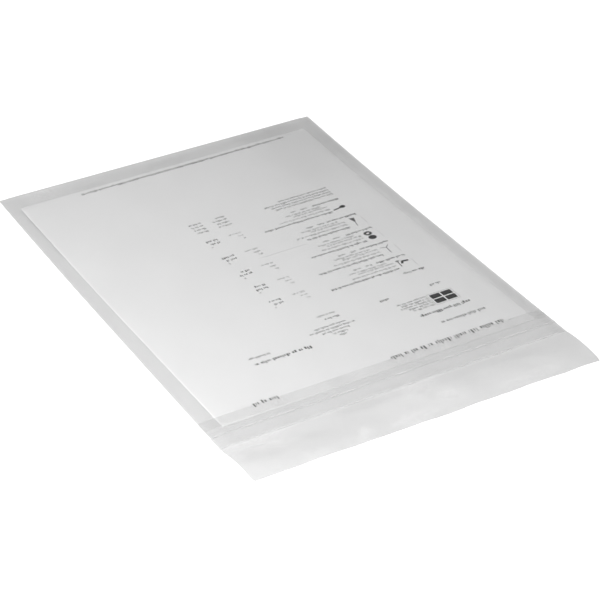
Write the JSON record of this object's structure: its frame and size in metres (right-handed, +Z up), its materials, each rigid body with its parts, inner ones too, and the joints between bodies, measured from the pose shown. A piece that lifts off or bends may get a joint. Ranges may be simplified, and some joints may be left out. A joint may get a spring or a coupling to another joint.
{
  "type": "clear poly bag",
  "caption": "Flat clear film bag with an open flap and a peel-off adhesive closure, holding a printed letter-size sheet.",
  "frame": {"origin": "centre of the bag's outline, on the surface that it lies on", "axes": "+X across the bag, to the right seen from the flap; +Y along the bag to its closed end; +Z up, out of the front panel"},
  "size_m": [0.236, 0.35, 0.0036],
  "materials": {
    "film": "clear, thin and glossy, with a faint haze",
    "adhesive": "translucent, slightly grey, tacky",
    "liner": "translucent, smooth",
    "paper": "matt, uncoated"
  },
  "bodies": {
    "root": {"bag_film": "film", "adhesive_strip": "adhesive", "release_liner": "liner", "page": "paper"}
  },
  "joints": []
}
